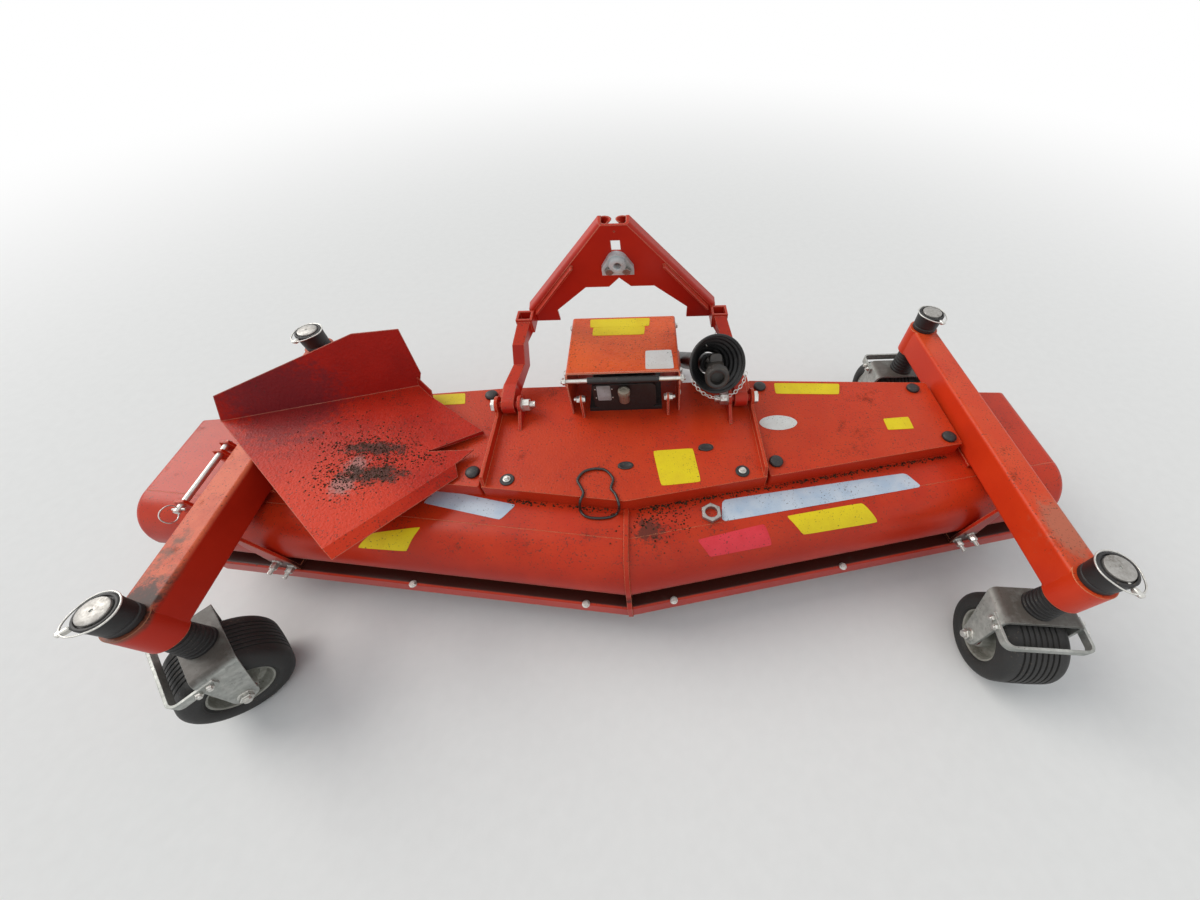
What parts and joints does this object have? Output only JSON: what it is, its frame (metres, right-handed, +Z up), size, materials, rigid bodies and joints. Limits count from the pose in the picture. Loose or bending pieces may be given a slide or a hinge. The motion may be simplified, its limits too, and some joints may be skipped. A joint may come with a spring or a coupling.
{
  "type": "rotary mower deck",
  "caption": "Rotary mower deck with a V-shaped front, caster beams, raised belt covers, guarded gearbox, folded coupling triangle, drive shaft and loose discharge deflector.",
  "frame": {"origin": "centre of the footprint box at floor level; the nose stands 50 mm to the right of it, because the left end of the deck reaches further out than the right one", "axes": "+X to the right seen from the V-shaped front, +Y from the front nose to the hitch, +Z up"},
  "size_m": [2.41, 1.3183, 0.7746],
  "materials": {
    "red_paint": "worn gloss",
    "galvanised": "dull galvanised",
    "black_plastic": "matte",
    "black_rubber": "matte",
    "tyre": "matte",
    "rim": "satin",
    "gearbox_iron": "matte paint",
    "bare_steel": "worn",
    "plug_steel": "dull",
    "bright_steel": "polished",
    "blade_steel": "worn"
  },
  "bodies": {
    "deck": {"beam_braces": "red_paint", "beam_left": "red_paint", "beam_right": "red_paint", "belt_cover_left": "red_paint", "belt_cover_right": "red_paint", "centre_plate": "red_paint", "cover_knobs": "black_rubber", "deck_pan": "red_paint", "deflector": "red_paint", "discharge_hinge": "bare_steel", "drive_bells": "black_plastic", "drive_joints": "bare_steel", "drive_tube": "black_plastic", "filler_plug": "plug_steel", "front_rail": "red_paint", "gearbox": "gearbox_iron", "gearbox_guard": "red_paint", "guard_rod": "bare_steel", "hinge_brackets": "red_paint", "hood_left": "red_paint", "hood_right": "red_paint", "nose_plate": "red_paint", "skirt_left": "red_paint", "skirt_right": "red_paint", "spindle_housings": "gearbox_iron"},
    "swivel_front_left": {"fork_front_left": "galvanised", "spacers_front_left": "black_plastic"},
    "swivel_front_right": {"fork_front_right": "galvanised", "spacers_front_right": "black_plastic"},
    "swivel_rear_left": {"fork_rear_left": "galvanised", "spacers_rear_left": "black_plastic"},
    "swivel_rear_right": {"fork_rear_right": "galvanised", "spacers_rear_right": "black_plastic"},
    "hitch": {"hitch_arms": "red_paint", "hitch_latch": "bright_steel", "hitch_triangle": "red_paint"},
    "input": {"input_shaft": "bare_steel"},
    "wheel_front_left": {"rim_front_left": "rim", "tyre_front_left": "tyre"},
    "wheel_front_right": {"rim_front_right": "rim", "tyre_front_right": "tyre"},
    "wheel_rear_left": {"rim_rear_left": "rim", "tyre_rear_left": "tyre"},
    "wheel_rear_right": {"rim_rear_right": "rim", "tyre_rear_right": "tyre"},
    "rotor_centre": {"rotor_centre": "blade_steel"},
    "rotor_inner_left": {"rotor_inner_left": "blade_steel"},
    "rotor_inner_right": {"rotor_inner_right": "blade_steel"},
    "rotor_outer_left": {"rotor_outer_left": "blade_steel"},
    "rotor_outer_right": {"rotor_outer_right": "blade_steel"}
  },
  "joints": [
    {"name": "hitch_tilt", "type": "hinge", "parent": "deck", "child": "hitch", "pos_m": [0.05, 0.05, 0.372], "axis": [1, 0, 0], "range_deg": [0, 15]},
    {"name": "swivel_front_right", "type": "hinge", "parent": "deck", "child": "swivel_front_right", "pos_m": [0.985, -0.512, 0.235], "axis": [0, 0, 1], "continuous": true},
    {"name": "wheel_front_right", "type": "hinge", "parent": "swivel_front_right", "child": "wheel_front_right", "pos_m": [0.98166, -0.54383, 0.105], "axis": [-0.9945, 0.1045, 0], "continuous": true},
    {"name": "swivel_front_left", "type": "hinge", "parent": "deck", "child": "swivel_front_left", "pos_m": [-0.885, -0.512, 0.235], "axis": [0, 0, 1], "continuous": true},
    {"name": "wheel_front_left", "type": "hinge", "parent": "swivel_front_left", "child": "wheel_front_left", "pos_m": [-0.90723, -0.53502, 0.105], "axis": [-0.7193, 0.6947, 0], "continuous": true},
    {"name": "swivel_rear_right", "type": "hinge", "parent": "deck", "child": "swivel_rear_right", "pos_m": [0.985, 0.309, 0.235], "axis": [0, 0, 1], "continuous": true},
    {"name": "wheel_rear_right", "type": "hinge", "parent": "swivel_rear_right", "child": "wheel_rear_right", "pos_m": [0.985, 0.341, 0.105], "axis": [1, 0, 0], "continuous": true},
    {"name": "swivel_rear_left", "type": "hinge", "parent": "deck", "child": "swivel_rear_left", "pos_m": [-0.885, 0.309, 0.235], "axis": [0, 0, 1], "continuous": true},
    {"name": "wheel_rear_left", "type": "hinge", "parent": "swivel_rear_left", "child": "wheel_rear_left", "pos_m": [-0.885, 0.341, 0.105], "axis": [1, 0, 0], "continuous": true},
    {"name": "input_spin", "type": "hinge", "parent": "deck", "child": "input", "pos_m": [0.05, 0.135, 0.396], "axis": [0, 1, 0], "continuous": true},
    {"name": "spin_centre", "type": "hinge", "parent": "deck", "child": "rotor_centre", "pos_m": [0.05, -0.0855, 0.122], "axis": [0, 0, 1], "continuous": true},
    {"name": "spin_inner_left", "type": "hinge", "parent": "deck", "child": "rotor_inner_left", "pos_m": [-0.354, -0.1715, 0.122], "axis": [0, 0, 1], "continuous": true},
    {"name": "spin_inner_right", "type": "hinge", "parent": "deck", "child": "rotor_inner_right", "pos_m": [0.454, -0.1715, 0.122], "axis": [0, 0, 1], "continuous": true},
    {"name": "spin_outer_left", "type": "hinge", "parent": "deck", "child": "rotor_outer_left", "pos_m": [-0.758, -0.0855, 0.122], "axis": [0, 0, 1], "continuous": true},
    {"name": "spin_outer_right", "type": "hinge", "parent": "deck", "child": "rotor_outer_right", "pos_m": [0.858, -0.0855, 0.122], "axis": [0, 0, 1], "continuous": true}
  ],
  "couplings": [
    {"joint": "spin_inner_left", "follows": "spin_centre", "ratio": 1},
    {"joint": "spin_inner_right", "follows": "spin_centre", "ratio": 1},
    {"joint": "spin_outer_left", "follows": "spin_centre", "ratio": 1},
    {"joint": "spin_outer_right", "follows": "spin_centre", "ratio": 1},
    {"joint": "input_spin", "follows": "spin_centre", "ratio": 1}
  ]
}
